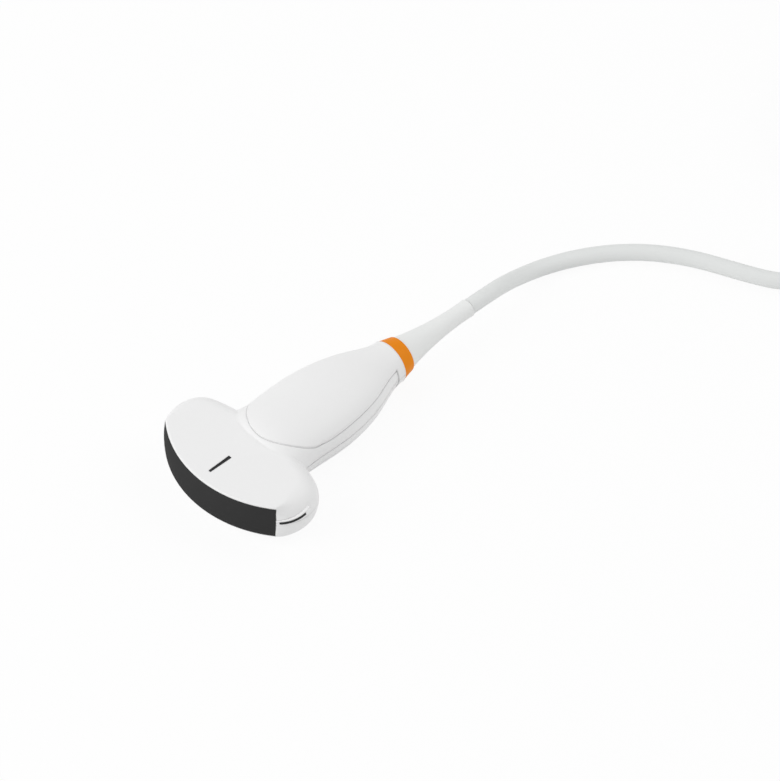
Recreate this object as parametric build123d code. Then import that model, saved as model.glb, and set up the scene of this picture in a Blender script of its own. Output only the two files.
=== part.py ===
from build123d import *

import os
from math import copysign, cos, degrees, pi, radians, sin, tan

# A convex hand-held ultrasound probe with its cable and system connector, in millimetres.
# The probe is drawn with x running back from the lens's front, y across the head and z = 0 on its
# parting plane. It is then set down on the table, broad face up, with the origin under its middle.

# Acoustic window
array_radius = 50.0
lens_half_angle = 39.7
lens_height = 15.7
lens_window_gap = 0.05
lens_flange = 1.2
lens_depth = 2.6
lens_crown = 0.5
lens_end_step = 1.5
matching_thickness = 0.6
piezo_thickness = 0.7
backing_depth = 7.0
carrier_depth = 2.5
stack_gap = 0.1
bay_end_gap = 0.2
carrier_end_step = 3.0
flex_end_step = 4.0
overlap = 1.0

# Head
head_half_thickness = 8.5
head_rise = 0.02
cap_proud = 0.3
lobe_angle = 41.5
lobe_radius = 13.0
lobe_rear_stretch = 2.5
rim_roll = 8.5
under_roll = 3.0
lip_round = 1.0
head_wall = 1.9
head_rear_x = 40.0
head_rear_half_width = 9.0

# Neck and handle: distance behind the lens, half width and half thickness at each station
neck_root_x = 27.5
neck_root_half_width = 25.5
neck_root_half_thickness = 6.8
neck_crest_x = 32.0
neck_crest_half_width = 22.0
neck_crest_half_thickness = 10.7
shoulder_x = 37.5
shoulder_half_width = 19.8
shoulder_half_thickness = 12.2
grip_x = 48.0
grip_half_width = 18.7
grip_half_thickness = 12.7
palm_x = 70.0
palm_half_width = 18.2
palm_half_thickness = 12.6
taper_x = 86.0
taper_half_width = 14.4
taper_half_thickness = 11.2
tail_x = 97.0
tail_half_width = 10.2
tail_half_thickness = 9.6
collar_x = 103.4
collar_radius = 9.0
section_power = 2.25
section_points = 20
handle_wall = 2.4
parting_groove_depth = 0.4
parting_groove_height = 0.3
groove_land = 1.5

# Grip covers
cover_front_x = 31.8
cover_nose_length = 18.2
cover_margin = 1.45
cover_proud = 0.3
cover_depth = 1.0
cover_seam = 0.12
cover_bond = 0.1
collar_length = 3.9

# Marks
centre_mark_start = 5.5
centre_mark_length = 11.0
centre_mark_front_width = 0.9
centre_mark_rear_width = 1.3
mark_depth = 0.6
mark_proud = 0.05
rib_start_angle = 36.0
rib_end_angle = 104.0
rib_height = 2.2
rib_depth = 1.0
rib_proud = 0.3
rib_tilt = 13.0
index_start_angle = 42.0
index_end_angle = 90.0
index_height = 0.9

# Tail of the handle
tail_bore_radius = 5.2
tail_fit = 0.1
spigot_wall = 1.4
ring_length = 6.0
ring_front_radius = 9.3
ring_rear_radius = 7.9
cavity_end_x = 94.0
clamp_length = 5.0
boot_flange_radius = 7.5
boot_waist_radius = 5.2
boot_end_radius = 4.1
boot_length = 37.4
boot_end_round = 0.5
boot_waist_share = 0.32

# Inside the handle
flex_thickness = 0.25
board_start_x = 42.0
board_length = 38.0
board_width = 20.0
board_thickness = 1.2
frame_height = 8.4
frame_width = 15.0
frame_wall = 1.6
socket_length = 6.0
socket_width = 17.0
socket_height = 1.6
tongue_width = 14.0
tongue_height = 4.0

# Cable
cable_radius = 3.4
coil_mid_radius = 38.0
coil_columns = 4
coil_layers = 2
coil_x = 355.0
coil_y = -38.0
tie_thickness = 0.8
tie_width = 9.0
tie_angle = 60.0
coil_entry_angle = 270.0
coil_stop = 13.0
coil_sink = 0.6
coil_exit_angle = 255.0
coil_edge_share = 0.95

# System connector
shell_depth = 40.0
shell_length = 72.0
shell_height = 50.0
shell_corner = 5.0
shell_edge = 1.2
shell_wall = 2.2
shell_split = 22.0
gland_x = 12.0
gland_height = 20.0
gland_length = 14.0
gland_collar_radius = 6.5
gland_neck_radius = 4.8
plate_thickness = 1.6
plate_setback = 0.8
contact_length = 46.0
contact_height = 22.0
contact_depth = 13.0
contact_proud = 3.0
connector_board_thickness = 1.6
board_margin = 4.0
shaft_radius = 3.0
shaft_reach = 9.0
shaft_clearance = 0.4
cam_length = 13.0
cam_thickness = 3.0
lever_length = 36.0
lever_width = 8.0
lever_thickness = 7.0
lever_hub_radius = 8.0
lever_gap = 0.6
lever_edge = 1.5
screw_radius = 1.5
screw_head_radius = 2.7
screw_head_height = 2.2
screw_length = 26.0
screw_inset = 5.6
boss_radius = 4.0

# Sizes that follow from the ones above
cap_radius = array_radius + cap_proud
lip_radius = array_radius - lens_flange
lens_back_radius = array_radius - lens_depth
matching_back_radius = lens_back_radius - matching_thickness
piezo_back_radius = matching_back_radius - piezo_thickness
backing_back_radius = piezo_back_radius - backing_depth
carrier_back_radius = backing_back_radius - carrier_depth
bay_half_height = head_half_thickness - head_wall
stack_half_angle = lens_half_angle - lens_end_step
lobe_reach = cap_radius - lobe_radius
lobe_x = array_radius - lobe_reach * cos(radians(lobe_angle))
lobe_y = lobe_reach * sin(radians(lobe_angle))
collar_front_x = collar_x - collar_length
ring_end_x = collar_x + ring_length
probe_length = ring_end_x + boot_length
middle_x = (probe_length - lens_crown) / 2
spigot_radius = tail_bore_radius + spigot_wall
board_end_x = board_start_x + board_length
clamp_end_x = cavity_end_x + clamp_length
beyond = 2 * probe_length

# Half width, half thickness and squareness of the handle at each station
handle_stations = [
    (neck_root_x, neck_root_half_width, neck_root_half_thickness, section_power),
    (neck_crest_x, neck_crest_half_width, neck_crest_half_thickness, section_power),
    (shoulder_x, shoulder_half_width, shoulder_half_thickness, section_power),
    (grip_x, grip_half_width, grip_half_thickness, section_power),
    (palm_x, palm_half_width, palm_half_thickness, section_power),
    (taper_x, taper_half_width, taper_half_thickness, section_power),
    (tail_x, tail_half_width, tail_half_thickness, 2.0),
    (collar_x, collar_radius, collar_radius, 2.0),
]

array_axis = Axis((array_radius, 0, 0), (0, 0, 1))


def span_box(x0, x1, half_y, z0, z1):
    """A block from x0 to x1 and z0 to z1, centred across y."""
    return Pos((x0 + x1) / 2, 0, (z0 + z1) / 2) * Box(x1 - x0, 2 * half_y, z1 - z0)


def turned(profile):
    """The solid of a closed outline of (x, radius) points turned about the probe's long axis."""
    outline = make_face(Polyline(*[(x, 0, r) for x, r in profile], close=True))
    return revolve(outline, Axis.X, 360)


def tube_along_x(x0, x1, outer, inner=0.0):
    """A round bar or tube on the probe's axis from x0 to x1."""
    return turned([(x0, inner), (x0, outer), (x1, outer), (x1, inner)])


def array_band(inner, outer, half_height, half_angle):
    """A curved band about the array's axis, symmetrical about the middle of the lens."""
    outline = make_face(
        Polyline(
            (array_radius - inner, 0, -half_height),
            (array_radius - outer, 0, -half_height),
            (array_radius - outer, 0, half_height),
            (array_radius - inner, 0, half_height),
            close=True,
        )
    )
    band = revolve(outline, array_axis, 2 * half_angle)
    return band.rotate(array_axis, -half_angle)


def plan_polar(radius, angle):
    """Plan point on a circle about the array's axis, with the angle counted from the lens's middle."""
    return array_radius - radius * cos(radians(angle)), radius * sin(radians(angle))


def head_loop(level, roll, wall, front_radius, corner_angle):
    """Closed loop of the head at one level between its faces (-1 to 1), rolled in at the lobes."""

    def lifted(point, side):
        x, y = point
        return Vector(x, side * y, level * (head_half_thickness - wall + head_rise * x))

    def lobe_point(angle, share):
        reach = lobe_radius - wall - roll * share
        stretch = lobe_rear_stretch * max(0.0, -cos(radians(angle)))
        return lobe_x - reach * cos(radians(angle)) + stretch, lobe_y + reach * sin(radians(angle))

    corner = plan_polar(front_radius, corner_angle)
    nose = plan_polar(front_radius, 0)
    rear = (head_rear_x - wall, head_rear_half_width)
    side_points = [corner, lobe_point(50, 0.5)] + [lobe_point(a, 1) for a in (90, 135, 180)] + [rear]
    left = [lifted(p, 1) for p in side_points]
    right = [lifted(p, -1) for p in side_points]
    return Wire(
        [
            ThreePointArc(right[0], lifted(nose, 1), left[0]),
            Spline(*left),
            Line(left[-1], right[-1]),
            Spline(*reversed(right)),
        ]
    )


def head_block(wall, front_radius, corner_angle):
    """The crescent head, its rims rolled softly on top; wall sets every surface in for the hollow."""
    loops = []
    for turn in (-90, -68, -45, -22, 0, 22, 45, 68, 90):
        full_roll = rim_roll if turn > 0 else under_roll
        roll = max(0.0, full_roll - wall) * (1 - cos(radians(turn)))
        lip = front_radius - lip_round * (1 - cos(radians(turn))) ** 3
        loops.append(head_loop(sin(radians(turn)), roll, wall, lip, corner_angle))
    return Solid.make_loft(loops)


def handle_section(x, half_width, half_thickness, power):
    """One closed oval across the handle, started underneath."""
    points = []
    for i in range(section_points):
        angle = 2 * pi * i / section_points - pi / 2
        y = half_width * copysign(abs(cos(angle)) ** (2 / power), cos(angle))
        z = half_thickness * copysign(abs(sin(angle)) ** (2 / power), sin(angle))
        points.append(Vector(x, y, z))
    return Wire([Spline(*points, periodic=True)])


def handle_loft(grow):
    """The handle's smooth body, with every section grown (or shrunk) by a distance."""
    return Solid.make_loft([handle_section(x, w + grow, t + grow, p) for x, w, t, p in handle_stations])


def cover_prism(grow):
    """Upright prism of the covers' plan: a half-oval nose, flanks inside the handle's edge, a collar."""
    flank_start = cover_front_x + cover_nose_length
    half = grip_half_width - cover_margin + grow
    flank = [(x, w - cover_margin + grow) for x, w, t, p in handle_stations if x > flank_start]
    tip = (cover_front_x - grow, 0)
    nose_left = EllipticalCenterArc(
        (flank_start, 0), cover_nose_length + grow, half, start_angle=90, arc_size=90
    )
    nose_right = nose_left.mirror(Plane.XZ)
    left = Spline((flank_start, half), *flank)
    right = left.mirror(Plane.XZ)
    end = Line(left @ 1, right @ 1)
    plan = make_face([nose_left, nose_right, left, right, end])
    prism = extrude(plan, amount=beyond, both=True)
    collar = span_box(collar_front_x - grow, collar_x, 2 * collar_radius, -beyond, beyond)
    return prism + collar


def half_space(upper):
    """A large block on one side of the parting plane."""
    side = 1 if upper else -1
    return Pos(0, 0, side * beyond / 2) * Box(2 * beyond, 2 * beyond, beyond)


# Marks on the head
top_plane = Plane(origin=(0, 0, head_half_thickness), x_dir=(1, 0, head_rise), z_dir=(-head_rise, 0, 1))
mark_end = centre_mark_start + centre_mark_length
mark_outline = make_face(
    Polyline(
        (centre_mark_start, -centre_mark_front_width / 2),
        (mark_end, -centre_mark_rear_width / 2),
        (mark_end, centre_mark_rear_width / 2),
        (centre_mark_start, centre_mark_front_width / 2),
        close=True,
    )
)
centre_mark = extrude(top_plane * Pos(0, 0, -mark_depth) * mark_outline, amount=mark_depth + mark_proud)


rib_tilt_axis = Axis((lobe_x - lobe_radius, 0, 0), (0, 1, 0))


def lobe_band(inner, outer, height, start, end):
    """A band round the marked lobe's edge, rising from the lens; angles are counted back from there."""
    axis = Axis((lobe_x, -lobe_y, 0), (0, 0, 1))
    outline = make_face(
        Polyline(
            (lobe_x - inner, -lobe_y, -height / 2),
            (lobe_x - outer, -lobe_y, -height / 2),
            (lobe_x - outer, -lobe_y, height / 2),
            (lobe_x - inner, -lobe_y, height / 2),
            close=True,
        )
    )
    band = revolve(outline, axis, end - start).rotate(axis, start)
    return band.rotate(rib_tilt_axis, -rib_tilt)


rib_outer = lobe_radius + rib_proud
index_mark = lobe_band(
    rib_outer - mark_depth, rib_outer + mark_proud, index_height, index_start_angle, index_end_angle
)
rib_block = lobe_band(lobe_radius - rib_depth, rib_outer, rib_height, rib_start_angle, rib_end_angle)
orientation_rib = rib_block - index_mark

# Housing: head and handle in one moulding, hollowed, then parted on the middle plane
spigot = tube_along_x(collar_x - overlap, ring_end_x, spigot_radius)
body = head_block(0, cap_radius, lens_half_angle) + handle_loft(0) + spigot
window_half_height = lens_height / 2 + lens_window_gap
lens_recess = array_band(lip_radius, 2 * array_radius, window_half_height, lens_half_angle)
array_bay = array_band(
    carrier_back_radius - stack_gap, 2 * array_radius, bay_half_height, stack_half_angle + bay_end_gap
)
bay_corner_angle = stack_half_angle - carrier_end_step
head_hollow = head_block(head_wall, carrier_back_radius + carrier_depth, bay_corner_angle)
cavity_cut = span_box(-beyond, cavity_end_x, beyond, -beyond, beyond)
handle_hollow = handle_loft(-handle_wall) & cavity_cut
tail_bore = tube_along_x(cavity_end_x - overlap, beyond, tail_bore_radius)
cover_pocket = cover_prism(cover_seam) - handle_loft(-cover_depth)
groove_half = parting_groove_height / 2
groove_slab = span_box(shoulder_x, collar_front_x - groove_land, beyond, -groove_half, groove_half)
parting_groove = groove_slab - handle_loft(-parting_groove_depth)
housing = body - lens_recess - array_bay - head_hollow - handle_hollow - tail_bore
housing = housing - cover_pocket - parting_groove - centre_mark - rib_block
upper_housing = housing & half_space(True)
lower_housing = housing & half_space(False)

# Grip covers with the half collars in front of the ring
cover = (handle_loft(cover_proud) - handle_loft(cover_bond - cover_depth)) & cover_prism(0)
upper_grip_cover = cover & half_space(True)
lower_grip_cover = cover & half_space(False)
rest_height = -lower_grip_cover.bounding_box().min.Z
on_table = Location((-middle_x, 0, rest_height))

# Lens and the stack behind it
lens_profile = make_face(
    [
        Polyline(
            (lens_flange, 0, lens_height / 2),
            (lens_flange, 0, bay_half_height - stack_gap),
            (lens_depth, 0, bay_half_height - stack_gap),
            (lens_depth, 0, stack_gap - bay_half_height),
            (lens_flange, 0, stack_gap - bay_half_height),
            (lens_flange, 0, -lens_height / 2),
            (0, 0, -lens_height / 2),
        ),
        ThreePointArc((0, 0, -lens_height / 2), (-lens_crown, 0, 0), (0, 0, lens_height / 2)),
        Line((0, 0, lens_height / 2), (lens_flange, 0, lens_height / 2)),
    ]
)
lens_sweep = revolve(lens_profile, array_axis, 2 * lens_half_angle).rotate(array_axis, -lens_half_angle)
body_limit = array_band(
    lens_back_radius - overlap, lip_radius, head_half_thickness, stack_half_angle
)
flange_limit = array_band(lip_radius, 2 * array_radius, 2 * head_half_thickness, lens_half_angle)
acoustic_lens = (lens_sweep & body_limit) + (lens_sweep & flange_limit)
stack_half_height = bay_half_height - stack_gap
block_half_height = stack_half_height - flex_thickness
matching_layer = array_band(matching_back_radius, lens_back_radius, stack_half_height, stack_half_angle)
piezo_array = array_band(piezo_back_radius, matching_back_radius, stack_half_height, stack_half_angle)
backing_block = array_band(backing_back_radius, piezo_back_radius, block_half_height, stack_half_angle)
tongue = span_box(
    array_radius - backing_back_radius + overlap,
    board_start_x,
    tongue_width / 2,
    -tongue_height / 2,
    tongue_height / 2,
)
carrier_band = array_band(carrier_back_radius, backing_back_radius, block_half_height, bay_corner_angle)
array_carrier = carrier_band + tongue


def flex_circuit(side):
    """Flexible circuit that lies on the backing block and narrows back to its board's socket."""
    z = side * (block_half_height + flex_thickness / 2)
    strip_radius = backing_back_radius + overlap
    front_x = array_radius - strip_radius
    wide_x, wide_y = plan_polar(strip_radius, bay_corner_angle - flex_end_step)
    socket_y = socket_width / 2
    strip = make_face(
        Polyline(
            (front_x, -socket_y),
            (wide_x, -wide_y),
            (board_start_x, -socket_y),
            (board_start_x, socket_y),
            (wide_x, wide_y),
            (front_x, socket_y),
            close=True,
        )
    )
    sheet = extrude(Pos(0, 0, z - flex_thickness / 2) * strip, amount=flex_thickness)
    fan = Pos(0, 0, z) * array_band(
        backing_back_radius, piezo_back_radius, flex_thickness / 2, stack_half_angle
    )
    return fan + sheet


upper_flex_circuit = flex_circuit(1)
lower_flex_circuit = flex_circuit(-1)

# Boards, their frame and sockets, and the leads that gather into the cable
frame_half = frame_height / 2
frame_block = span_box(board_start_x, board_end_x, frame_width / 2, -frame_half, frame_half)
frame_opening = span_box(
    board_start_x + 2 * frame_wall,
    board_end_x - 2 * frame_wall,
    frame_width / 2 - frame_wall,
    -beyond,
    beyond,
)
board_frame = frame_block - frame_opening
board_half = frame_half + board_thickness
upper_board = span_box(board_start_x, board_end_x, board_width / 2, frame_half, board_half)
lower_board = span_box(board_start_x, board_end_x, board_width / 2, -board_half, -frame_half)
socket_end_x = board_start_x + socket_length
socket_half = board_half + socket_height
upper_socket = span_box(board_start_x, socket_end_x, socket_width / 2, board_half, socket_half)
lower_socket = span_box(board_start_x, socket_end_x, socket_width / 2, -socket_half, -board_half)
board_connectors = Compound([upper_socket.solid(), lower_socket.solid()])
coax_bundle = turned(
    [(board_end_x, 0), (board_end_x, frame_half), (cavity_end_x, cable_radius), (cavity_end_x, 0)]
)
cable_root = tube_along_x(cavity_end_x, probe_length, cable_radius)
cable_clamp = tube_along_x(cavity_end_x, clamp_end_x, tail_bore_radius - tail_fit, cable_radius)

# Ring and boot on the tail
colour_ring = turned(
    [
        (collar_x, spigot_radius),
        (collar_x, ring_front_radius),
        (ring_end_x, ring_rear_radius),
        (ring_end_x, spigot_radius),
    ]
)
boot_flare = Spline(
    (ring_end_x, 0, boot_flange_radius),
    (ring_end_x + boot_length * boot_waist_share, 0, boot_waist_radius),
    (probe_length - boot_end_round, 0, boot_end_radius),
)
boot_profile = make_face(
    [
        Polyline(
            (probe_length - boot_end_round, 0, boot_end_radius),
            (probe_length, 0, boot_end_radius - boot_end_round),
            (probe_length, 0, cable_radius),
            (clamp_end_x, 0, cable_radius),
            (clamp_end_x, 0, tail_bore_radius - tail_fit),
            (ring_end_x, 0, tail_bore_radius - tail_fit),
            (ring_end_x, 0, boot_flange_radius),
        ),
        boot_flare,
    ]
)
strain_relief_boot = revolve(boot_profile, Axis.X, 360)

# Cable on the table: out of the boot, down to the table, then round to the coil
floor_z = cable_radius
coil_floor_z = tie_thickness + cable_radius
coil_outer_mid = coil_mid_radius + cable_radius * (coil_columns - 1)
coil_centre = Vector(coil_x - middle_x, coil_y, 0)
boot_end = Vector(probe_length - middle_x, 0, rest_height)


def on_coil(angle, height):
    """A point sunk a little into the coil's outer turn, and the way that the cable runs there."""
    out = Vector(cos(radians(angle)), sin(radians(angle)), 0)
    return coil_centre + out * (coil_outer_mid - coil_sink) + Vector(0, 0, height), Vector(-out.Y, out.X, 0)


coil_entry, entry_heading = on_coil(coil_entry_angle, coil_floor_z + coil_sink)
cable_route = [
    boot_end,
    Vector(84.6, 0.0, rest_height),
    Vector(95.4, 1.4, 10.2),
    Vector(106.2, 2.6, 6.0),
    Vector(117.6, 1.4, floor_z + 0.4),
    Vector(129.8, -3.2, floor_z),
    Vector(142.6, -10.8, floor_z),
    Vector(154.6, -21.4, floor_z),
    Vector(165.0, -35.6, floor_z),
    Vector(173.4, -53.0, floor_z),
    Vector(180.9, -67.1, floor_z),
    Vector(192.8, -77.8, floor_z),
    Vector(209.5, -83.8, floor_z + 0.2),
    Vector(230.0, -85.4, floor_z + 0.6),
    coil_entry - entry_heading * coil_stop,
]


def tube_on(route):
    """A round tube along straight runs joined by the largest arcs that the runs allow."""
    radii = []
    for before, here, after in zip(route, route[1:], route[2:]):
        turn = (here - before).get_angle(after - here)
        shorter = min((here - before).length, (after - here).length)
        radii.append(0.45 * shorter / tan(radians(turn / 2)))
    path = FilletPolyline(*route, radius=radii)
    print("bend radii", [round(r, 1) for r in radii], "length", round(path.length, 1))
    start = Plane(origin=route[0], z_dir=route[1] - route[0])
    tube = sweep(start * Circle(cable_radius), path=path)
    print("volume over section times length", tube.volume / (pi * cable_radius**2 * path.length))
    return tube


coil_inner = coil_mid_radius - cable_radius * coil_columns
coil_outer = coil_mid_radius + cable_radius * coil_columns
coil_height = 2 * cable_radius * coil_layers


def coil_section(grow):
    """Outline of the coil's bundle of turns, standing on the tie, grown by a distance."""
    width = coil_outer - coil_inner + 2 * grow
    height = coil_height + 2 * grow
    centre = Plane(
        origin=coil_centre + Vector(coil_mid_radius, 0, tie_thickness + coil_height / 2),
        x_dir=(1, 0, 0),
        z_dir=(0, -1, 0),
    )
    return centre * RectangleRounded(width, height, cable_radius * coil_edge_share + grow)


coil_axis = Axis(coil_centre, (0, 0, 1))
cable_coil = revolve(coil_section(0), coil_axis, 360)
tie_span = degrees(tie_width / coil_mid_radius)
tie_profile = coil_section(tie_thickness) - coil_section(0)
coil_tie = revolve(tie_profile, coil_axis, tie_span).rotate(coil_axis, tie_angle)
coil_space = Pos(coil_centre) * Cylinder(coil_outer + stack_gap, 2 * beyond)
cable = tube_on(cable_route) - coil_space

# Tail of the cable from the coil's top turn into the connector's gland
coil_top_z = coil_floor_z + 2 * cable_radius * (coil_layers - 1)
coil_exit, _ = on_coil(coil_exit_angle, coil_top_z - coil_sink)
tail_climb = gland_height - coil_exit.Z
tail_runs = (20.0, 18.0, 17.0, 16.0, 15.0, 12.0, 8.0)
tail_headings = (-15.0, -6.0, 8.0, 32.0, 56.0, 78.0, 90.0)
tail_climb_shares = (0.04, 0.16, 0.24, 0.26, 0.2, 0.1, 0.0)
tail_route = [coil_exit]
for run, heading, share in zip(tail_runs, tail_headings, tail_climb_shares):
    ahead = Vector(run * cos(radians(heading)), run * sin(radians(heading)), share * tail_climb)
    tail_route.append(tail_route[-1] + ahead)
gland_mouth = tail_route[-1]
cable_tail = tube_on(tail_route) - coil_space

# System connector, drawn with its back at x = 0, its long side along y and its underside at z = 0
at_connector = Location((gland_mouth.X - gland_x, gland_mouth.Y + gland_length + shell_length / 2, 0))
shaft_z = shell_height / 2
shaft_bore = shaft_radius + shaft_clearance


def upright_block(x0, x1, length, height):
    """A block across the connector from x0 to x1, centred on the shaft."""
    return Pos((x0 + x1) / 2, 0, shaft_z) * Box(x1 - x0, length, height)


def bar_along_x(x0, x1, radius, y=0.0, z=shaft_z):
    """A round bar parallel to the connector's shaft."""
    return Pos((x0 + x1) / 2, y, z) * Rot(0, 90, 0) * Cylinder(radius, x1 - x0)


def bar_along_y(y0, y1, radius):
    """A round bar on the cable gland's axis."""
    return Pos(gland_x, (y0 + y1) / 2, gland_height) * Rot(90, 0, 0) * Cylinder(radius, y1 - y0)


shell_plan = Pos(0, 0, shaft_z) * Rot(0, 90, 0) * RectangleRounded(shell_height, shell_length, shell_corner)
shell_block = extrude(shell_plan, amount=shell_depth)
shell_block = fillet(shell_block.faces().sort_by(Axis.X)[0].edges(), shell_edge)
hollow_plan = Pos(shell_wall, 0, shaft_z) * Rot(0, 90, 0) * RectangleRounded(
    shell_height - 2 * shell_wall, shell_length - 2 * shell_wall, shell_corner - shell_wall
)
shell_hollow = extrude(hollow_plan, amount=shell_depth)
shell_body = shell_block - shell_hollow

screw_places = [
    (y * (shell_length / 2 - screw_inset), shaft_z + z * (shell_height / 2 - screw_inset))
    for y in (-1, 1)
    for z in (-1, 1)
]
screw_seat_x = screw_head_height + plate_setback
screw_tip_x = screw_seat_x + screw_length
boss_end_x = screw_tip_x + shell_wall
for y, z in screw_places:
    shell_body += bar_along_x(shell_wall / 2, boss_end_x, boss_radius, y, z)
for y, z in screw_places:
    shell_body -= bar_along_x(screw_seat_x, screw_tip_x, screw_radius, y, z)
    shell_body -= bar_along_x(-overlap, screw_seat_x, screw_head_radius + stack_gap, y, z)
screws = []
for y, z in screw_places:
    shank = bar_along_x(screw_seat_x - screw_head_height / 2, screw_tip_x, screw_radius, y, z)
    head = bar_along_x(screw_seat_x - screw_head_height, screw_seat_x, screw_head_radius, y, z)
    screws.append((shank + head).solid())
shell_screws = Compound(screws)

gland_inner_y = -shell_length / 2 + 2 * shell_wall
gland_outer_y = -shell_length / 2 - gland_length
shell_body -= bar_along_y(gland_outer_y, gland_inner_y, gland_neck_radius)
shell_body -= bar_along_x(-overlap, shell_split, shaft_bore)
connector_back_shell = shell_body & span_box(-beyond, shell_split, beyond, -beyond, beyond)
connector_front_shell = shell_body & span_box(shell_split, beyond, beyond, -beyond, beyond)

# Gland: a collar against the shell, a neck through its wall and a taper down to the cable
connector_boot = Pos(gland_x, 0, gland_height) * revolve(
    make_face(
        Polyline(
            (cable_radius + stack_gap, gland_outer_y),
            (gland_neck_radius, gland_outer_y),
            (gland_collar_radius, -shell_length / 2),
            (gland_neck_radius - stack_gap, -shell_length / 2),
            (gland_neck_radius - stack_gap, gland_inner_y),
            (cable_radius + stack_gap, gland_inner_y),
            close=True,
        )
    ),
    Axis.Y,
    360,
)

# Face plate, contacts and board, all pierced for the locking shaft
plate_front_x = shell_depth - plate_setback
plate_back_x = plate_front_x - plate_thickness
contact_front_x = plate_front_x + contact_proud
contact_back_x = contact_front_x - contact_depth
plate_length = shell_length - 2 * shell_wall - 2 * stack_gap
plate_height = shell_height - 2 * shell_wall - 2 * stack_gap
plate_plan = Pos(plate_back_x, 0, shaft_z) * Rot(0, 90, 0) * RectangleRounded(
    plate_height, plate_length, shell_corner - shell_wall
)
contact_core = upright_block(contact_back_x, contact_front_x, contact_length, contact_height)
face_plate = extrude(plate_plan, amount=plate_thickness) - contact_core
contact_block = contact_core - bar_along_x(contact_back_x - overlap, contact_front_x + overlap, shaft_bore)
connector_board = upright_block(
    contact_back_x - connector_board_thickness,
    contact_back_x,
    shell_length - 2 * shell_wall - 2 * board_margin,
    shell_height - 2 * screw_inset - 2 * boss_radius - 2 * stack_gap,
) - bar_along_x(0, shell_depth, shaft_bore)

# Quarter turn lock: the shaft runs through the connector, with a cam in front and a lever behind
shaft_end_x = contact_front_x + shaft_reach
lever_front_x = -lever_gap
lever_back_x = lever_front_x - lever_thickness
shaft_bar = bar_along_x(lever_front_x, shaft_end_x, shaft_radius)
cam = upright_block(shaft_end_x - cam_thickness, shaft_end_x, cam_length, 2 * shaft_radius)
lock_shaft = shaft_bar + cam
lever_hub = bar_along_x(lever_back_x, lever_front_x, lever_hub_radius)
lever_bar = upright_block(lever_back_x, lever_front_x, lever_length, lever_width)
lock_lever = fillet((lever_hub + lever_bar).edges().filter_by(Axis.X), lever_edge)

probe_pieces = {
    "acoustic_lens": acoustic_lens,
    "matching_layer": matching_layer,
    "piezo_array": piezo_array,
    "backing_block": backing_block,
    "array_carrier": array_carrier,
    "upper_flex_circuit": upper_flex_circuit,
    "lower_flex_circuit": lower_flex_circuit,
    "board_frame": board_frame,
    "upper_board": upper_board,
    "lower_board": lower_board,
    "board_connectors": board_connectors,
    "coax_bundle": coax_bundle,
    "cable_root": cable_root,
    "cable_clamp": cable_clamp,
    "upper_housing": upper_housing,
    "lower_housing": lower_housing,
    "upper_grip_cover": upper_grip_cover,
    "lower_grip_cover": lower_grip_cover,
    "centre_mark": centre_mark,
    "orientation_rib": orientation_rib,
    "index_mark": index_mark,
    "colour_ring": colour_ring,
    "strain_relief_boot": strain_relief_boot,
}
cable_pieces = {
    "cable": cable,
    "cable_coil": cable_coil,
    "coil_tie": coil_tie,
    "cable_tail": cable_tail,
}
connector_pieces = {
    "connector_boot": connector_boot,
    "connector_back_shell": connector_back_shell,
    "connector_front_shell": connector_front_shell,
    "shell_screws": shell_screws,
    "face_plate": face_plate,
    "contact_block": contact_block,
    "connector_board": connector_board,
    "lock_shaft": lock_shaft,
    "lock_lever": lock_lever,
}

os.makedirs("parts", exist_ok=True)
for pieces, place in (
    (probe_pieces, on_table),
    (cable_pieces, Location()),
    (connector_pieces, at_connector),
):
    for name, piece in pieces.items():
        export_step(place * piece, f"parts/{name}.step")
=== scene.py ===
"""Convex ultrasound probe with its cable and system connector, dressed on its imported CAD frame."""
import logging
import math
from dataclasses import dataclass
from enum import Enum

import bmesh
import bpy
from mathutils import Matrix, Quaternion, Vector


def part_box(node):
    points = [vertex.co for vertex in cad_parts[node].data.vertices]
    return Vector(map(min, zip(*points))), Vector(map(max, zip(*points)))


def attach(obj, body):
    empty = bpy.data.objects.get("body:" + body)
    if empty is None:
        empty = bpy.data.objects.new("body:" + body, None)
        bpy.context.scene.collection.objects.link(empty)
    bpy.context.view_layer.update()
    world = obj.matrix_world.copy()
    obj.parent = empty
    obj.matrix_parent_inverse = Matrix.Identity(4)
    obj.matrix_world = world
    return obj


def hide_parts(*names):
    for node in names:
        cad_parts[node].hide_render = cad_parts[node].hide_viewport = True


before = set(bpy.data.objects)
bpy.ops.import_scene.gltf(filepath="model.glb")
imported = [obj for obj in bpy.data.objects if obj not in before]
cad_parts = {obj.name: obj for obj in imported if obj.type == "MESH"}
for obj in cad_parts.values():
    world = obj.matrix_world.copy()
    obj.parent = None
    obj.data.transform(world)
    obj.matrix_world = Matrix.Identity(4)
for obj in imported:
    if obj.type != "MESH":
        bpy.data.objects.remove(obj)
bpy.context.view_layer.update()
MM = 0.001
IMAGE_WIDTH, IMAGE_HEIGHT = 780, 781
# Height of the probe's parting plane and axis above the table.
REST_HEIGHT = 13.0765 * MM
# Corners of a CAD mesh that lie closer than this are one corner.
WELD_DISTANCE = 0.002 * MM
DRIFT_DETAIL = 3.0
EDGE_SAMPLES = 8

log = logging.getLogger("ultrasound_probe")


class Body(Enum):
    """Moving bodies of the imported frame."""

    PROBE = "probe"
    LOCK = "lock"


class Pattern(Enum):
    """Kinds of fine surface pattern, with the texture node that draws each."""

    GRAIN = "ShaderNodeTexNoise"
    CELLS = "ShaderNodeTexVoronoi"
    LINES = "ShaderNodeTexWave"


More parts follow.
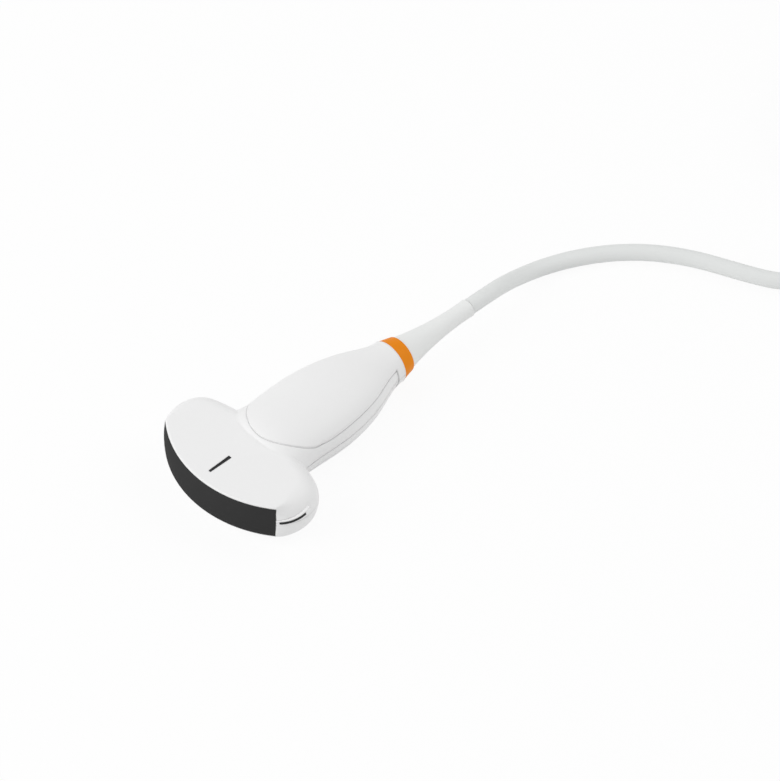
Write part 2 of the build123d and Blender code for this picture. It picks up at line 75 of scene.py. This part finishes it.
def linear(hex_colour: str) -> tuple[float, float, float, float]:
    """Linear colour of an sRGB hex value.

    Args:
        hex_colour: Colour such as "#E9E9E9".

    Returns:
        Red, green, blue and alpha for a shader socket.
    """
    parts = [int(hex_colour[i:i + 2], 16) / 255 for i in (1, 3, 5)]
    red, green, blue = [c / 12.92 if c <= 0.04045 else ((c + 0.055) / 1.055) ** 2.4 for c in parts]
    return red, green, blue, 1.0


def add_node(
    tree: bpy.types.NodeTree, kind: str, inputs: dict | None = None, **settings: object
) -> bpy.types.Node:
    """Adds one node with its settings, values and links.

    Args:
        tree: Node tree that takes the node.
        kind: Blender's name of the node type.
        inputs: Value or output socket for each named or numbered input.
        settings: Attributes of the node itself.

    Returns:
        The new node.
    """
    node = tree.nodes.new(kind)
    for key, value in settings.items():
        setattr(node, key, value)
    for key, value in (inputs or {}).items():
        if isinstance(value, bpy.types.NodeSocket):
            tree.links.new(value, node.inputs[key])
        else:
            node.inputs[key].default_value = value
    return node


@dataclass(frozen=True)
class Finish:
    """A real surface: its colours, its fine pattern, its broad drift of tone and its gloss.

    The fine pattern has a size along each axis in millimetres, so that drawn, brushed and
    printed surfaces get long features, and moulded ones round features.
    """

    name: str
    colour: str
    second: str
    roughness: float
    pattern: Pattern = Pattern.GRAIN
    size_mm: tuple[float, float, float] = (0.5, 0.5, 0.5)
    pattern_share: float = 0.2
    roughness_spread: float = 0.08
    relief_mm: float = 0.01
    drift_mm: float = 30.0
    drift_share: float = 0.3
    edge_mm: float = 0.0
    metallic: float = 0.0
    ior: float = 1.5
    specular: float = 0.5
    coat: float = 0.0
    sheen: float = 0.0

    def material(self) -> bpy.types.Material:
        """Material of this finish, made the first time it is asked for."""
        known = bpy.data.materials.get(self.name)
        if known is not None:
            return known
        made = bpy.data.materials.new(self.name)
        made.use_nodes = True
        made.node_tree.nodes.clear()
        self._draw(made.node_tree)
        return made

    def _draw(self, tree: bpy.types.NodeTree) -> None:
        """Draws the finish in its node tree: pattern and drift to colour, roughness and relief.

        Args:
            tree: Empty node tree of the material.
        """
        where = add_node(tree, "ShaderNodeTexCoord").outputs["Object"]
        steps = tuple(1 / (size * MM) for size in self.size_mm)
        fine_where = add_node(
            tree, "ShaderNodeMapping", {"Vector": where, "Scale": steps}
        ).outputs["Vector"]
        fine = add_node(tree, self.pattern.value, {"Vector": fine_where, "Scale": 1.0}).outputs[0]
        broad = add_node(
            tree,
            "ShaderNodeTexNoise",
            {"Vector": where, "Scale": 1 / (self.drift_mm * MM), "Detail": DRIFT_DETAIL},
        ).outputs["Fac"]
        fine_part = add_node(
            tree, "ShaderNodeMath", {0: fine, 1: self.pattern_share}, operation="MULTIPLY"
        ).outputs[0]
        tone = add_node(
            tree,
            "ShaderNodeMath",
            {0: broad, 1: self.drift_share, 2: fine_part},
            operation="MULTIPLY_ADD",
        ).outputs[0]
        colour = add_node(
            tree,
            "ShaderNodeMix",
            {"Factor": tone, 6: linear(self.colour), 7: linear(self.second)},
            data_type="RGBA",
        ).outputs[2]
        gloss = add_node(
            tree,
            "ShaderNodeMapRange",
            {"Value": tone, 3: self.roughness, 4: self.roughness + self.roughness_spread},
        ).outputs["Result"]
        relief = {"Height": fine, "Strength": 1.0, "Distance": self.relief_mm * MM}
        if self.edge_mm > 0:
            relief["Normal"] = add_node(
                tree, "ShaderNodeBevel", {"Radius": self.edge_mm * MM}, samples=EDGE_SAMPLES
            ).outputs["Normal"]
        bump = add_node(tree, "ShaderNodeBump", relief).outputs["Normal"]
        shader = add_node(
            tree,
            "ShaderNodeBsdfPrincipled",
            {
                "Base Color": colour,
                "Roughness": gloss,
                "Normal": bump,
                "Metallic": self.metallic,
                "IOR": self.ior,
                "Specular IOR Level": self.specular,
                "Coat Weight": self.coat,
                "Sheen Weight": self.sheen,
            },
        )
        add_node(tree, "ShaderNodeOutputMaterial", {"Surface": shader.outputs["BSDF"]})


# Moulded white ABS: spark eroded satin, a hair of grain and soft moulded edges.
WHITE_ABS = Finish(
    "moulded_white_abs", "#F3F3F3", "#EDEDED", 0.42, size_mm=(0.45,) * 3, relief_mm=0.004,
    edge_mm=0.9, drift_mm=45.0, specular=0.4,
)
# Moulded rib: the same plastic, a little brighter where its crown is polished by handling.
RIB_ABS = Finish(
    "moulded_rib_abs", "#F4F4F4", "#EEEEEE", 0.38, size_mm=(0.4,) * 3, relief_mm=0.003,
    edge_mm=0.3,
)
# Cast silicone lens: dark and matte, with a faint bloom that greys it in patches.
LENS_SILICONE = Finish(
    "cast_dark_silicone", "#373737", "#3E3E3E", 0.8, size_mm=(0.35,) * 3, relief_mm=0.006,
    drift_mm=12.0, drift_share=0.35, ior=1.41, specular=0.04,
)
# Inlaid marking paint: dark, level and slightly soft in gloss.
MARK_INK = Finish(
    "inlaid_dark_paint", "#262627", "#323233", 0.55, size_mm=(0.25,) * 3, relief_mm=0.003,
    drift_mm=4.0, specular=0.15,
)
# Moulded coloured ABS ring: smooth orange with a semi gloss.
RING_ORANGE = Finish(
    "moulded_orange_abs", "#F28F16", "#E8830C", 0.45, size_mm=(0.5,) * 3, relief_mm=0.003,
    drift_mm=9.0, edge_mm=0.3, specular=0.1,
)
# Moulded thermoplastic elastomer: pale, soft to the touch, matte.
BOOT_TPE = Finish(
    "moulded_pale_elastomer", "#F1F2F1", "#EAECEB", 0.55, size_mm=(0.3,) * 3,
    relief_mm=0.006, drift_mm=14.0, edge_mm=0.6, ior=1.45, specular=0.35,
)
# Extruded cable jacket: pale satin skin with fine draw marks.
CABLE_JACKET = Finish(
    "extruded_pale_jacket", "#E9EBEA", "#E1E3E2", 0.5, size_mm=(0.8, 0.3, 0.3),
    relief_mm=0.006, drift_mm=16.0, ior=1.45, specular=0.35,
)
# Moulded grey ABS of the connector shells: coarser eroded texture than the probe.
CONNECTOR_ABS = Finish(
    "moulded_pale_grey_abs", "#E0E2E2", "#D6D8D8", 0.5, size_mm=(0.7,) * 3, relief_mm=0.012,
    edge_mm=0.5, drift_mm=40.0,
)
# Moulded glass filled nylon of the lever: dark grey with fibre flecks.
LEVER_NYLON = Finish(
    "moulded_dark_nylon", "#585A5C", "#6A6C6E", 0.48, size_mm=(0.9, 0.3, 0.3),
    relief_mm=0.01, edge_mm=0.4, drift_mm=18.0,
)
# Nickel plated sheet: grained one way before plating, so it streaks along its length.
NICKEL_SHEET = Finish(
    "brushed_nickel_sheet", "#C9CACB", "#B4B5B6", 0.3, size_mm=(0.3, 14.0, 0.25),
    metallic=1.0, relief_mm=0.004, pattern_share=0.6,
)
# Turned stainless steel: fine tool rings round the shaft.
TURNED_STEEL = Finish(
    "turned_stainless_steel", "#C2C3C4", "#AEAFB0", 0.26, pattern=Pattern.LINES,
    size_mm=(2.0, 60.0, 60.0), metallic=1.0, relief_mm=0.003, pattern_share=0.5,
)
# Zinc plated screws: pale metal with a blotchy passivated film.
ZINC_STEEL = Finish(
    "zinc_plated_steel", "#BFC1C3", "#A9ABA8", 0.34, size_mm=(1.2,) * 3, metallic=1.0,
    relief_mm=0.006, pattern_share=0.5, drift_mm=3.0,
)
# Moulded black polymer of the contact block: dull, with flow marks.
CONTACT_LCP = Finish(
    "moulded_black_polymer", "#3A3A3B", "#464647", 0.5, size_mm=(1.5, 0.4, 0.4),
    relief_mm=0.008,
)
# Gold flashed contacts: bright and slightly worn to nickel at the tips.
GILT = Finish(
    "gold_flashed_contacts", "#E3B95A", "#CDBD93", 0.24, size_mm=(0.3,) * 3, metallic=1.0,
    relief_mm=0.003, drift_mm=3.0,
)
# Hook and loop strap: black woven band with a fuzzy pile.
STRAP = Finish(
    "woven_hook_and_loop", "#2C2C2E", "#48484B", 0.85, pattern=Pattern.CELLS,
    size_mm=(0.8, 0.8, 0.8), relief_mm=0.25, pattern_share=0.7, sheen=0.4,
)
# Filled epoxy matching layer: tan, ground flat.
MATCHING_EPOXY = Finish(
    "ground_filled_epoxy", "#9E9480", "#8C8270", 0.55, size_mm=(0.2,) * 3, relief_mm=0.004,
)
# Diced piezo ceramic: silvered elements with a dark cut every half millimetre.
PIEZO = Finish(
    "diced_piezo_ceramic", "#C4BBA8", "#6E675A", 0.4, pattern=Pattern.LINES,
    size_mm=(40.0, 0.6, 40.0), pattern_share=0.8, relief_mm=0.05,
)
# Loaded damping epoxy: near black with pale filler grains.
BACKING = Finish(
    "cast_loaded_epoxy", "#5A5A5D", "#707073", 0.7, size_mm=(0.3,) * 3, relief_mm=0.01,
)
# Machined aluminium carrier: fly cut in long passes.
CARRIER = Finish(
    "machined_aluminium", "#D6D8DA", "#BFC2C5", 0.32, size_mm=(0.25, 9.0, 0.25),
    metallic=1.0, relief_mm=0.005, pattern_share=0.5,
)
# Polyimide flexible circuit: amber film over copper tracks that run back from the array.
FLEX_FILM = Finish(
    "polyimide_over_copper", "#B87820", "#8A4A18", 0.28, pattern=Pattern.LINES,
    size_mm=(60.0, 1.2, 60.0), pattern_share=0.9, relief_mm=0.01, coat=0.3,
)
# Glass epoxy laminate: green solder mask over copper tracks.
LAMINATE = Finish(
    "solder_mask_on_laminate", "#2F7A48", "#48935C", 0.3, pattern=Pattern.LINES,
    size_mm=(50.0, 1.6, 50.0), pattern_share=0.9, relief_mm=0.02, coat=0.2,
)
# Moulded black sockets: high temperature polymer with a dull skin.
SOCKET = Finish(
    "moulded_black_sockets", "#404041", "#4C4C4D", 0.5, size_mm=(0.4,) * 3, relief_mm=0.008,
)
# Moulded grey frame: unpainted structural plastic.
FRAME_GREY = Finish(
    "moulded_grey_frame", "#88898B", "#7C7D7F", 0.55, size_mm=(0.6,) * 3, relief_mm=0.01,
)
# Bundle of fine coaxial leads: parallel strands of two tones.
LEADS = Finish(
    "laid_fine_coax", "#B47A5A", "#8A5238", 0.5, size_mm=(14.0, 0.45, 0.45),
    pattern_share=1.0, relief_mm=0.1,
)
# Crimped brass ferrule: drawn tube with faint lengthwise lines.
BRASS = Finish(
    "crimped_brass_tube", "#D8BC7A", "#C4A561", 0.3, size_mm=(8.0, 0.3, 0.3), metallic=1.0,
    relief_mm=0.005, pattern_share=0.5,
)


def dress(piece: bpy.types.Object, finish: Finish) -> None:
    """Gives a piece one finish on all its faces.

    Args:
        piece: Mesh or curve object.
        finish: Finish of its surface.
    """
    piece.data.materials.clear()
    piece.data.materials.append(finish.material())


def place(piece: bpy.types.Object, body: Body, finish: Finish) -> bpy.types.Object:
    """Sets a new piece on its body, with its finish.

    Args:
        piece: Piece that is already in place.
        body: Body that carries it.
        finish: Finish of its surface.

    Returns:
        The same piece.
    """
    dress(piece, finish)
    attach(piece, body.value)
    log.info("%s on %s: %s", piece.name, body.value, finish.name)
    return piece


def mesh_object(name: str, shape: bmesh.types.BMesh) -> bpy.types.Object:
    """Makes a linked, smooth shaded object of a finished bmesh and frees the bmesh.

    Args:
        name: Name of the object.
        shape: Shape in the frame, in metres.

    Returns:
        The new object, at the origin.
    """
    mesh = bpy.data.meshes.new(name)
    shape.to_mesh(mesh)
    shape.free()
    mesh.shade_smooth()
    made = bpy.data.objects.new(name, mesh)
    bpy.context.scene.collection.objects.link(made)
    return made


def skin(
    node: str,
    body: Body,
    finish: Finish,
    crease_deg: float = 32.0,
    swell_mm: tuple[float, float, float] = (0.0, 0.0, 0.0),
) -> bpy.types.Object:
    """Smooth skin over a CAD node: its own surface, joined up and shaded smooth up to its creases.

    Args:
        node: Name of the CAD node that the skin stands for.
        body: Body that carries it.
        finish: Finish of its surface.
        crease_deg: Angle above which an edge stays sharp.
        swell_mm: How far the surface stands out from the node along each axis, as paint does that
            fills a groove.

    Returns:
        The new piece.
    """
    shape = bmesh.new()
    shape.from_mesh(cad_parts[node].data)
    bmesh.ops.remove_doubles(shape, verts=shape.verts[:], dist=WELD_DISTANCE)
    shape.normal_update()
    for vert in shape.verts:
        vert.co += vert.normal * Vector(swell_mm) * MM
    made = mesh_object(f"{node}_skin", shape)
    kept_normals = made.data.attributes.get("custom_normal")
    if kept_normals is not None:
        made.data.attributes.remove(kept_normals)
    made.data.set_sharp_from_angle(angle=math.radians(crease_deg))
    weighted = made.modifiers.new("even_normals", "WEIGHTED_NORMAL")
    weighted.keep_sharp = True
    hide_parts(node)
    return place(made, body, finish)


def ease(value: float, begin: float, end: float) -> float:
    """Share from 0 to 1 of a smooth change that starts at one value and ends at another."""
    share = min(max((value - begin) / (end - begin), 0), 1)
    return share * share * (3 - 2 * share)


@dataclass
class PhotoCamera:
    """Camera at the photograph's viewing angle, with a very long lens.

    The object in the photograph shows no foreshortening. The apex is the middle of the lens front.
    """

    azimuth_deg: float = -45.05
    elevation_deg: float = 48.0
    roll_deg: float = 2.1
    pixels_per_mm: float = 2.535
    apex: tuple[float, float, float] = (-73.15 * MM, 0.0, REST_HEIGHT)
    apex_pixel: tuple[float, float] = (199.3, 492.6)
    distance: float = 7.7
    sensor_mm: float = 36.0
    clip: tuple[float, float] = (0.1, 100.0)

    def build(self) -> bpy.types.Object:
        """Makes the camera and sets it as the scene's.

        Returns:
            The camera object.
        """
        turn, rise = math.radians(self.azimuth_deg), math.radians(self.elevation_deg)
        level = math.cos(rise)
        back = Vector((math.sin(turn) * level, -math.cos(turn) * level, math.sin(rise)))
        aim = (-back).to_track_quat("-Z", "Y") @ Quaternion((0, 0, 1), math.radians(self.roll_deg))
        pixel = MM / self.pixels_per_mm
        across = (IMAGE_WIDTH / 2 - self.apex_pixel[0]) * pixel
        upward = (self.apex_pixel[1] - IMAGE_HEIGHT / 2) * pixel
        target = Vector(self.apex) + aim @ Vector((across, upward, 0))
        data = bpy.data.cameras.new("photo_camera")
        data.sensor_width = self.sensor_mm
        data.lens = self.sensor_mm * self.distance / (IMAGE_WIDTH * pixel)
        data.clip_start, data.clip_end = self.clip
        camera = bpy.data.objects.new("photo_camera", data)
        camera.location = target + back * self.distance
        camera.rotation_mode = "QUATERNION"
        camera.rotation_quaternion = aim
        bpy.context.scene.collection.objects.link(camera)
        bpy.context.scene.camera = camera
        return camera


@dataclass
class Cable:
    """The probe's cable: out of the boot, down to the table, into its coil and to the connector.

    The coil winds in column by column on the floor, climbs once and winds out again on top. Each
    step to the next column, and the climb, takes the same share of a turn.
    """

    diameter: float = 6.8 * MM
    real_length: float = 2.0
    coil_centre: tuple[float, float] = (281.85 * MM, -38.0 * MM)
    column_radii: tuple[float, ...] = (48.2 * MM, 41.4 * MM, 34.6 * MM, 27.8 * MM)
    floor_level: float = 4.2 * MM
    top_level: float = 11.0 * MM
    points_per_turn: int = 24
    step_share: float = 0.25
    section_steps: int = 5
    length_steps: int = 5
    entry_deg: float = 270.0
    turns: float = 7 - 15 / 360
    lead: tuple[tuple[float, float, float], ...] = (
        (0.07365, 0.0, REST_HEIGHT),
        (0.0846, 0.0, REST_HEIGHT),
        (0.0954, 0.0014, 0.0102),
        (0.1062, 0.0026, 0.0060),
        (0.1176, 0.0014, 0.0038),
        (0.1298, -0.0032, 0.0034),
        (0.1426, -0.0108, 0.0034),
        (0.1546, -0.0214, 0.0034),
        (0.1650, -0.0356, 0.0034),
        (0.1734, -0.0530, 0.0034),
        (0.1809, -0.0671, 0.0034),
        (0.1928, -0.0778, 0.0034),
        (0.2095, -0.0838, 0.0036),
        (0.2300, -0.0854, 0.0040),
        (0.26885, -0.0862, 0.0042),
    )
    tail: tuple[tuple[float, float, float], ...] = (
        (0.288849, -0.089154, 0.01078),
        (0.306750, -0.091036, 0.01232),
        (0.323585, -0.088670, 0.01462),
        (0.337153, -0.080191, 0.01712),
        (0.345541, -0.067756, 0.01904),
        (0.348036, -0.056018, 0.02000),
        (0.348036, -0.048018, 0.02000),
    )

    def turn_radius(self, turned: float) -> float:
        """Radius of the coil after some turns: in column by column below, out again on top.

        Args:
            turned: Turns since the cable entered the coil.

        Returns:
            Radius in metres.
        """
        columns = len(self.column_radii)
        radius = self.column_radii[0]
        for column, (outer, inner) in enumerate(zip(self.column_radii, self.column_radii[1:])):
            back_out = 2 * (columns - 1) + self.step_share - column
            moved_in = ease(turned, column + 1 - self.step_share, column + 1)
            moved_out = ease(turned, back_out, back_out + self.step_share)
            radius -= (outer - inner) * (moved_in - moved_out)
        return radius

    def turn_level(self, turned: float) -> float:
        """Height of the coil's line after some turns: it climbs once, to the top layer.

        Args:
            turned: Turns since the cable entered the coil.

        Returns:
            Height in metres.
        """
        climb = len(self.column_radii) - 1 + 2 * self.step_share
        climbed = ease(turned, climb, climb + self.step_share)
        return self.floor_level + (self.top_level - self.floor_level) * climbed

    def route(self) -> list[Vector]:
        """Control points of the whole cable, from the boot to the connector's gland.

        Returns:
            Points in the frame, in metres.
        """
        points = [Vector(point) for point in self.lead]
        for step in range(math.floor(self.turns * self.points_per_turn) + 1):
            turned = step / self.points_per_turn
            angle = math.radians(self.entry_deg) + turned * math.tau
            radius = self.turn_radius(turned)
            points.append(Vector((
                self.coil_centre[0] + radius * math.cos(angle),
                self.coil_centre[1] + radius * math.sin(angle),
                self.turn_level(turned),
            )))
        return points + [Vector(point) for point in self.tail]

    def build(self) -> bpy.types.Object:
        """Lays the cable as one smooth spline with a round section.

        Returns:
            The cable's curve object.
        """
        data = bpy.data.curves.new("cable_line", "CURVE")
        data.dimensions = "3D"
        data.bevel_depth = self.diameter / 2
        data.bevel_resolution = self.section_steps
        data.resolution_u = self.length_steps
        data.use_fill_caps = True
        spline = data.splines.new("NURBS")
        points = self.route()
        spline.points.add(len(points) - 1)
        for control, point in zip(spline.points, points):
            control.co = (*point, 1.0)
        spline.order_u = 3
        spline.use_endpoint_u = True
        made = bpy.data.objects.new("cable_line", data)
        bpy.context.scene.collection.objects.link(made)
        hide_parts("cable", "cable_coil", "cable_tail")
        return place(made, Body.PROBE, CABLE_JACKET)


@dataclass
class ProbeShell:
    """What the hand and the eye meet: housing halves, grip covers, lens, marks, ring and boot."""

    shell_crease_deg: float = 40.0
    cover_swell_mm: tuple[float, float, float] = (0.16, 0.16, 0.0)
    paint_swell_mm: tuple[float, float, float] = (0.1, 0.1, 0.1)
    index_swell_mm: tuple[float, float, float] = (0.25, 0.25, 0.25)
    boot_bore_mm: float = 3.45
    slim_mm: float = 0.3
    slim_length_mm: float = 22.0

    def build(self) -> None:
        """Makes the skins of the probe's outer pieces."""
        for node in ("upper_housing", "lower_housing"):
            skin(node, Body.PROBE, WHITE_ABS, self.shell_crease_deg)
        for node in ("upper_grip_cover", "lower_grip_cover"):
            skin(
                node, Body.PROBE, WHITE_ABS, self.shell_crease_deg, self.cover_swell_mm
            )
        skin("acoustic_lens", Body.PROBE, LENS_SILICONE)
        skin("orientation_rib", Body.PROBE, RIB_ABS)
        skin("centre_mark", Body.PROBE, MARK_INK, swell_mm=self.paint_swell_mm)
        skin("index_mark", Body.PROBE, MARK_INK, swell_mm=self.index_swell_mm)
        skin("colour_ring", Body.PROBE, RING_ORANGE)
        self._slim_mouth(skin("strain_relief_boot", Body.PROBE, BOOT_TPE))

    def _slim_mouth(self, boot: bpy.types.Object) -> None:
        """Draws the outside of the boot in towards its mouth, so that the lip hugs the cable.

        Args:
            boot: Skin of the strain relief boot.
        """
        mouth_x = max(vert.co.x for vert in boot.data.vertices)
        for vert in boot.data.vertices:
            across = Vector((0, vert.co.y, vert.co.z - REST_HEIGHT))
            wall = across.length - self.boot_bore_mm * MM
            if wall > 0:
                share = ease(vert.co.x, mouth_x - self.slim_length_mm * MM, mouth_x)
                vert.co -= across.normalized() * min(share * self.slim_mm * MM, wall)


@dataclass
class ProbeInside:
    """Acoustic stack, flexible circuits, boards, leads and clamp, which keep their CAD shapes."""

    finishes: tuple[tuple[str, Finish], ...] = (
        ("matching_layer", MATCHING_EPOXY),
        ("piezo_array", PIEZO),
        ("backing_block", BACKING),
        ("array_carrier", CARRIER),
        ("upper_flex_circuit", FLEX_FILM),
        ("lower_flex_circuit", FLEX_FILM),
        ("board_frame", FRAME_GREY),
        ("upper_board", LAMINATE),
        ("lower_board", LAMINATE),
        ("board_connectors", SOCKET),
        ("coax_bundle", LEADS),
        ("cable_root", CABLE_JACKET),
        ("cable_clamp", BRASS),
    )

    def build(self) -> None:
        """Dresses the inner CAD pieces where they are."""
        for node, finish in self.finishes:
            dress(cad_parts[node], finish)
            log.info("%s keeps its CAD shape: %s", node, finish.name)


@dataclass
class Connector:
    """System connector on the cable's far end, with its quarter turn lock and gilt contacts."""

    contact_pitch: float = 2.54 * MM
    contact_radius: float = 0.55 * MM
    contact_tip_radius: float = 0.3 * MM
    contact_proud: float = 1.0 * MM
    contact_columns: int = 7
    contact_rows: int = 7
    contact_sides: int = 8
    contact_crease_deg: float = 40.0
    field_edge: float = 2.6 * MM

    def build(self) -> list[bpy.types.Object]:
        """Makes the skins and the contacts.

        Returns:
            All the pieces on the cable's far end.
        """
        pieces = [
            skin("coil_tie", Body.PROBE, STRAP),
            skin("connector_boot", Body.PROBE, BOOT_TPE),
            skin("connector_back_shell", Body.PROBE, CONNECTOR_ABS),
            skin("connector_front_shell", Body.PROBE, CONNECTOR_ABS),
            skin("shell_screws", Body.PROBE, ZINC_STEEL),
            skin("face_plate", Body.PROBE, NICKEL_SHEET),
            skin("contact_block", Body.PROBE, CONTACT_LCP),
            skin("lock_shaft", Body.LOCK, TURNED_STEEL),
            skin("lock_lever", Body.LOCK, LEVER_NYLON),
            self._contacts(),
        ]
        dress(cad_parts["connector_board"], LAMINATE)
        return [*pieces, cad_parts["connector_board"]]

    def _contacts(self) -> bpy.types.Object:
        """Two fields of tapered contacts on the block's face, one on each side of the lock.

        Returns:
            One piece with all the contacts.
        """
        low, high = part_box("contact_block")
        shape = bmesh.new()
        lie_forward = Matrix.Rotation(math.radians(90), 4, "Y")
        depth = 2 * self.contact_proud
        first_z = (low.z + high.z) / 2 - self.contact_pitch * (self.contact_rows - 1) / 2
        for start, way in ((low.y + self.field_edge, 1), (high.y - self.field_edge, -1)):
            for column in range(self.contact_columns):
                for row in range(self.contact_rows):
                    across = start + way * column * self.contact_pitch
                    spot = Vector((high.x, across, first_z + row * self.contact_pitch))
                    bmesh.ops.create_cone(
                        shape,
                        cap_ends=True,
                        segments=self.contact_sides,
                        radius1=self.contact_radius,
                        radius2=self.contact_tip_radius,
                        depth=depth,
                        matrix=Matrix.Translation(spot) @ lie_forward,
                    )
        made = mesh_object("gilt_contacts", shape)
        made.data.set_sharp_from_angle(angle=math.radians(self.contact_crease_deg))
        return place(made, Body.PROBE, GILT)


@dataclass(frozen=True)
class SoftLight:
    """A large soft studio light that looks at the probe."""

    name: str
    direction: tuple[float, float, float]
    distance: float
    size: float
    power: float

    def build(self) -> None:
        """Hangs the light in its direction from the probe."""
        data = bpy.data.lights.new(self.name, "AREA")
        data.shape = "SQUARE"
        data.size = self.size
        data.energy = self.power
        lamp = bpy.data.objects.new(self.name, data)
        away = Vector(self.direction).normalized()
        lamp.location = away * self.distance
        lamp.rotation_mode = "QUATERNION"
        lamp.rotation_quaternion = (-away).to_track_quat("-Z", "Y")
        lamp.visible_camera = False
        bpy.context.scene.collection.objects.link(lamp)


@dataclass
class Studio:
    """Plain white floor, even white surroundings and soft lights."""

    floor_size: float = 12.0
    floor_level: float = -0.2 * MM
    floor_glow: float = 0.92
    paper_colour: str = "#F7F7F7"
    light_colour: str = "#FFFFFF"
    ambient: float = 0.58
    lights: tuple[SoftLight, ...] = (
        SoftLight("key_softbox", (-0.74, 0.38, 0.58), 1.6, 1.2, 12.0),
        SoftLight("fill_softbox", (0.68, -0.34, 0.62), 1.8, 1.4, 7.4),
    )

    def build(self) -> None:
        """Makes the floor, the surroundings and the lights, and sets the view transform."""
        bpy.context.scene.view_settings.view_transform = "Standard"
        self._floor()
        self._surroundings()
        for light in self.lights:
            light.build()

    def _shown_rays(self, tree: bpy.types.NodeTree) -> bpy.types.NodeSocket:
        """One for rays that show the background: from the camera, off gloss, through clear pieces.

        Args:
            tree: Node tree that needs the test.

        Returns:
            Output socket with the test.
        """
        path = add_node(tree, "ShaderNodeLightPath").outputs
        shown = path["Is Camera Ray"]
        for kind in ("Is Glossy Ray", "Is Transmission Ray"):
            shown = add_node(
                tree, "ShaderNodeMath", {0: shown, 1: path[kind]}, operation="MAXIMUM"
            ).outputs[0]
        return shown

    def _floor(self) -> None:
        """White floor that keeps a faint shadow of the object."""
        shape = bmesh.new()
        bmesh.ops.create_grid(
            shape,
            x_segments=1,
            y_segments=1,
            size=self.floor_size / 2,
            matrix=Matrix.Translation((0, 0, self.floor_level)),
        )
        floor = mesh_object("studio_floor", shape)
        paper = bpy.data.materials.new("white_background_paper")
        paper.use_nodes = True
        tree = paper.node_tree
        tree.nodes.clear()
        matte = add_node(
            tree, "ShaderNodeBsdfDiffuse", {"Color": linear(self.paper_colour)}
        ).outputs[0]
        glow = add_node(
            tree, "ShaderNodeEmission", {"Color": linear(self.light_colour), "Strength": 1.0}
        ).outputs[0]
        share = add_node(
            tree,
            "ShaderNodeMath",
            {0: self._shown_rays(tree), 1: self.floor_glow},
            operation="MULTIPLY",
        ).outputs[0]
        mixed = add_node(tree, "ShaderNodeMixShader", {0: share, 1: matte, 2: glow}).outputs[0]
        add_node(tree, "ShaderNodeOutputMaterial", {"Surface": mixed})
        floor.data.materials.append(paper)

    def _surroundings(self) -> None:
        """White all round to the eye, and an even light of lower strength on the object."""
        world = bpy.data.worlds.new("white_surroundings")
        world.use_nodes = True
        tree = world.node_tree
        tree.nodes.clear()
        strength = add_node(
            tree, "ShaderNodeMapRange", {"Value": self._shown_rays(tree), 3: self.ambient, 4: 1.0}
        ).outputs["Result"]
        even = add_node(
            tree, "ShaderNodeBackground", {"Color": linear(self.light_colour), "Strength": strength}
        ).outputs[0]
        add_node(tree, "ShaderNodeOutputWorld", {"Surface": even})
        bpy.context.scene.world = world


def main() -> None:
    """Builds the camera, the cable, the sub-assemblies and the studio in order."""
    logging.basicConfig(level=logging.INFO, format="%(name)s %(message)s")
    PhotoCamera().build()
    cable = Cable()
    line = cable.build()
    ProbeShell().build()
    ProbeInside().build()
    Connector().build()
    Studio().build()


if __name__ == "__main__":
    main()
